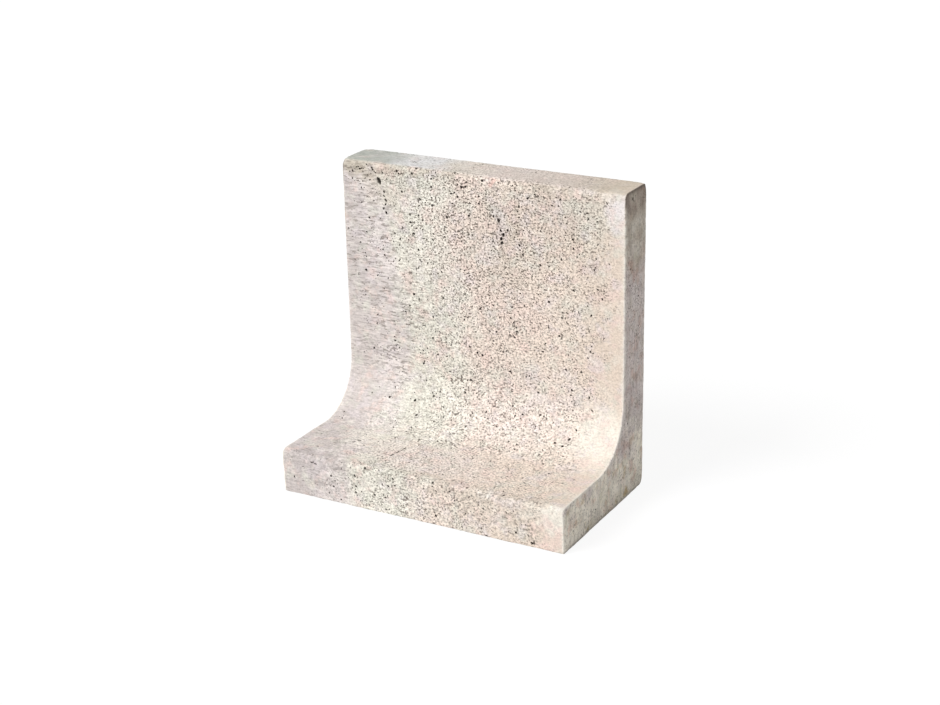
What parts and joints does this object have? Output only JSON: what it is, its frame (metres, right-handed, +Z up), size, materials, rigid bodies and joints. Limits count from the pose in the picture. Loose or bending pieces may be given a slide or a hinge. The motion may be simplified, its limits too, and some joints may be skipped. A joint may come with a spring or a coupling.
{
  "type": "l-shaped retaining wall block",
  "caption": "L-shaped precast concrete retaining wall block: an upright stem on a foot, with a rounded cove in the inside corner, smooth faces and square ends.",
  "frame": {"origin": "centre of the footprint, at the level of the ground that the base rests on", "axes": "+X along the wall, -Y the way that the foot points, +Y the way that the stem's plain back faces, +Z up"},
  "size_m": [0.4, 0.23, 0.4],
  "materials": {
    "concrete": "matte"
  },
  "bodies": {
    "root": {"retaining_wall_block": "concrete"}
  },
  "joints": []
}
